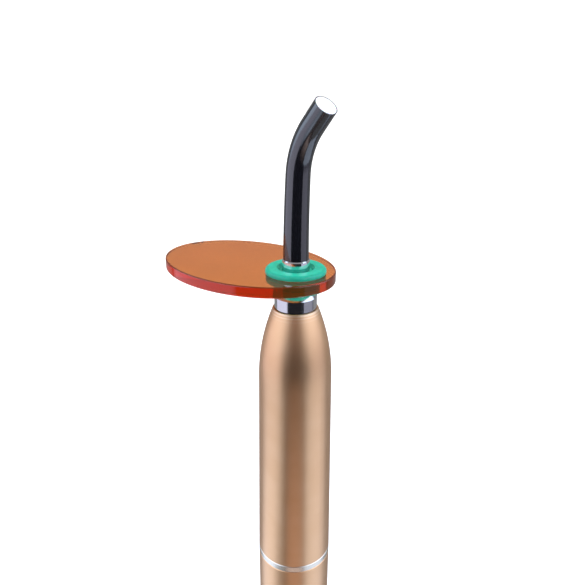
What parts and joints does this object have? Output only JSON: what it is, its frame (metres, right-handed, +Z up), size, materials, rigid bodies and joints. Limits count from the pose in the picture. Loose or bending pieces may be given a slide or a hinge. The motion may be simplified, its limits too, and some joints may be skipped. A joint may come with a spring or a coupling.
{
  "type": "dental curing light",
  "caption": "Pen-shaped cordless dental curing light with a curved black light guide, an orange oval eye shield in a green grommet and a gold metal handle.",
  "frame": {"origin": "centre of the flat tail face, on the handle's axis", "axes": "+Z up the handle's axis to the light guide; the guide bends towards +X; the control panel faces -X"},
  "size_m": [0.0621, 0.0439, 0.2339],
  "materials": {
    "gold_anodised": "satin champagne gold anodising over fine bead-blasted aluminium",
    "ring_silver": "bright satin silver",
    "collar_steel": "polished stainless steel",
    "ferrule_steel": "polished stainless steel",
    "black_glass": "opaque black glass jacket, fire polished",
    "fibre_glass": "fused fibre bundle with a polished white end",
    "green_silicone": "satin silicone",
    "orange_filter": "clear orange light-filtering acrylic",
    "panel_black": "gloss black",
    "window_smoke": "smoked clear acrylic",
    "button_white": "white with a fine ring",
    "button_gold": "spun gold anodised",
    "display_glass": "seven-segment display face",
    "board_green": "solder-masked circuit board",
    "chip_black": "moulded epoxy",
    "switch_grey": "switch body",
    "can_silver": "capacitor cans",
    "coil_dark": "ferrite",
    "carrier_grey": "moulded nylon",
    "screw_steel": "zinc-plated steel",
    "sink_aluminium": "machined aluminium",
    "pad_white": "thermal pad",
    "led_board_white": "white-masked aluminium-core board",
    "led_ceramic": "ceramic package",
    "led_lens": "clear silicone dome",
    "reflector": "mirror coated",
    "lens_glass": "clear optical glass",
    "seal_black": "nitrile rubber",
    "wire_red": "insulated wire",
    "wire_black": "insulated wire",
    "contact_brass": "plated brass",
    "plate_white": "insulating nylon",
    "coupling_metal": "turned aluminium",
    "holder_black": "moulded ABS",
    "cell_steel": "nickel-plated steel can",
    "cell_wrap": "shrink sleeve",
    "washer_card": "insulating card",
    "spring_steel": "spring steel"
  },
  "bodies": {
    "battery_section": {"battery_sleeve": "gold_anodised", "tail_cap": "gold_anodised", "contact_insulator": "holder_black", "charge_ring": "contact_brass", "charge_pin": "contact_brass", "tail_board": "board_green", "battery_spring": "spring_steel", "battery_holder": "holder_black", "battery_cell": "cell_steel", "battery_wrap": "cell_wrap", "battery_cap": "cell_steel", "battery_washer": "washer_card", "coupling_sleeve": "coupling_metal", "coupling_seal": "seal_black"},
    "coupling_ring": {"joint_ring": "ring_silver"},
    "handle": {"upper_housing": "gold_anodised", "panel_bezel": "panel_black", "display_window": "window_smoke", "display_module": "display_glass", "power_switch": "switch_grey", "mode_switch": "switch_grey", "time_switch": "switch_grey", "main_board": "board_green", "microcontroller": "chip_black", "inductor": "coil_dark", "buzzer": "chip_black", "capacitors": "can_silver", "board_carrier": "carrier_grey", "carrier_screws": "screw_steel", "led_lead_red": "wire_red", "led_lead_black": "wire_black", "battery_lead_red": "wire_red", "battery_lead_black": "wire_black", "contact_plate": "plate_white", "positive_contact": "contact_brass", "return_contact": "contact_brass", "heat_sink": "sink_aluminium", "thermal_pad": "pad_white", "led_board": "led_board_white", "board_screws": "screw_steel", "led_package": "led_ceramic", "led_dome": "led_lens", "reflector_cup": "reflector", "lens_retainer": "coupling_metal", "collimator_lens": "lens_glass", "head_collar": "collar_steel"},
    "power_key": {"power_button": "button_gold"},
    "mode_key": {"mode_button": "button_white"},
    "time_key": {"time_button": "button_white"},
    "guide_seal": {"ferrule_oring": "seal_black"},
    "light_guide": {"guide_core": "fibre_glass", "guide_jacket": "black_glass", "guide_ferrule": "ferrule_steel"},
    "grommet": {"shield_grommet": "green_silicone"},
    "shield": {"eye_shield": "orange_filter"}
  },
  "joints": [
    {"name": "handle_lift", "type": "slide", "parent": "battery_section", "child": "coupling_ring", "axis": [0, 0, 1], "range_m": [0, 0.0045]},
    {"name": "handle_unscrew", "type": "hinge", "parent": "coupling_ring", "child": "handle", "pos_m": [0, 0, 0.0734], "axis": [0, 0, 1], "range_deg": [0, 1080]},
    {"name": "power_press", "type": "slide", "parent": "handle", "child": "power_key", "axis": [1, 0, 0], "range_m": [0, 0.0004], "stiffness_N_per_m": 800, "springref_m": -0.0002},
    {"name": "mode_press", "type": "slide", "parent": "handle", "child": "mode_key", "axis": [1, 0, 0], "range_m": [0, 0.0004], "stiffness_N_per_m": 800, "springref_m": -0.0002},
    {"name": "time_press", "type": "slide", "parent": "handle", "child": "time_key", "axis": [1, 0, 0], "range_m": [0, 0.0004], "stiffness_N_per_m": 800, "springref_m": -0.0002},
    {"name": "guide_pull", "type": "slide", "parent": "handle", "child": "guide_seal", "axis": [0, 0, 1], "range_m": [0, 0.014]},
    {"name": "guide_swivel", "type": "hinge", "parent": "guide_seal", "child": "light_guide", "pos_m": [0, 0, 0.165], "axis": [0, 0, 1], "continuous": true},
    {"name": "shield_lift", "type": "slide", "parent": "light_guide", "child": "grommet", "axis": [0, 0, 1], "range_m": [0, 0.012]},
    {"name": "shield_swivel", "type": "hinge", "parent": "grommet", "child": "shield", "pos_m": [0, 0, 0.18], "axis": [0, 0, 1], "continuous": true}
  ],
  "couplings": [
    {"joint": "handle_unscrew", "follows": "handle_lift", "rad_per_m": 4188.8}
  ]
}
